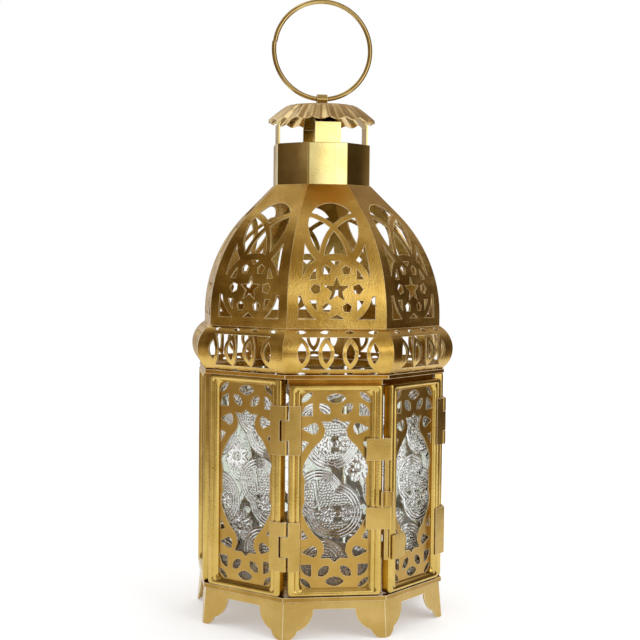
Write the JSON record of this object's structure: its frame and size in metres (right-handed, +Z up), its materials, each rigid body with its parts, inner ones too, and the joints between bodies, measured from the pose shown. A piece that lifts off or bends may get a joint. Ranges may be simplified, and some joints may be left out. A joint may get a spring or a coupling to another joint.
{
  "type": "candle lantern",
  "caption": "Octagonal pierced sheet-metal candle lantern with glazed panels, hinged doors with a slide bolt, domed top, chimney and hanging ring.",
  "frame": {"origin": "on the floor under the centre axis, level with the tips of the feet", "axes": "+Z up; the left door faces -Y and the right door faces -Y+X; the hanging ring lies in the X-Z plane"},
  "size_m": [0.1078, 0.1078, 0.2635],
  "materials": {
    "base_sheet": "satin gold lacquer",
    "frame_moulding": "satin gold lacquer",
    "pierced_sheet": "satin gold lacquer",
    "dome_sheet": "satin gold lacquer with a fine grain",
    "bright_sheet": "bright gold lacquer, nearly mirror-like",
    "fluted_cap": "satin gold lacquer",
    "ring_wire": "satin gold lacquer",
    "hardware": "satin gold lacquer",
    "cup_sheet": "satin gold lacquer",
    "pressed_glass": "clear pressed glass, glossy"
  },
  "bodies": {
    "lantern": {"base_skirt": "base_sheet", "base_plate": "base_sheet", "candle_cup": "cup_sheet", "frame_right": "frame_moulding", "frame_rear_right": "frame_moulding", "frame_rear": "frame_moulding", "frame_rear_left": "frame_moulding", "frame_left": "frame_moulding", "frame_front_left": "frame_moulding", "grille_right": "pierced_sheet", "grille_rear_right": "pierced_sheet", "grille_rear": "pierced_sheet", "grille_rear_left": "pierced_sheet", "grille_left": "pierced_sheet", "grille_front_left": "pierced_sheet", "glass_right": "pressed_glass", "glass_rear_right": "pressed_glass", "glass_rear": "pressed_glass", "glass_rear_left": "pressed_glass", "glass_left": "pressed_glass", "glass_front_left": "pressed_glass", "glass_clips": "base_sheet", "eaves_ring": "base_sheet", "belly_band": "dome_sheet", "dome_petal_front": "dome_sheet", "dome_petal_front_right": "dome_sheet", "dome_petal_right": "dome_sheet", "dome_petal_rear_right": "dome_sheet", "dome_petal_rear": "dome_sheet", "dome_petal_rear_left": "dome_sheet", "dome_petal_left": "dome_sheet", "dome_petal_front_left": "dome_sheet", "chimney_collar": "bright_sheet", "chimney_struts": "bright_sheet", "chimney_cap": "fluted_cap", "ring_strap": "ring_wire", "left_hinge_leaves": "hardware", "right_hinge_leaves": "hardware", "hinge_pins": "hardware"},
    "left_door": {"left_door_frame": "frame_moulding", "left_door_grille": "pierced_sheet", "left_door_glass": "pressed_glass", "left_door_clips": "base_sheet", "left_door_leaves": "hardware", "upper_bolt_guide": "hardware", "lower_bolt_guide": "hardware"},
    "right_door": {"right_door_frame": "frame_moulding", "right_door_grille": "pierced_sheet", "right_door_glass": "pressed_glass", "right_door_clips": "base_sheet", "right_door_leaves": "hardware", "bolt_keeper": "hardware"},
    "bolt": {"slide_bolt": "hardware"},
    "ring": {"hanging_ring": "ring_wire"}
  },
  "joints": [
    {"name": "left_door_hinge", "type": "hinge", "parent": "lantern", "child": "left_door", "pos_m": [-0.02079, -0.0502, 0.0601], "axis": [0, 0, -1], "range_deg": [0, 130]},
    {"name": "right_door_hinge", "type": "hinge", "parent": "lantern", "child": "right_door", "pos_m": [0.0502, -0.02079, 0.0601], "axis": [0, 0, 1], "range_deg": [0, 130]},
    {"name": "bolt_slide", "type": "slide", "parent": "left_door", "child": "bolt", "axis": [0, 0, 1], "range_m": [0, 0.012]},
    {"name": "ring_swing", "type": "hinge", "parent": "lantern", "child": "ring", "pos_m": [0, 0, 0.22084], "axis": [1, 0, 0], "range_deg": [-105, 105]}
  ]
}
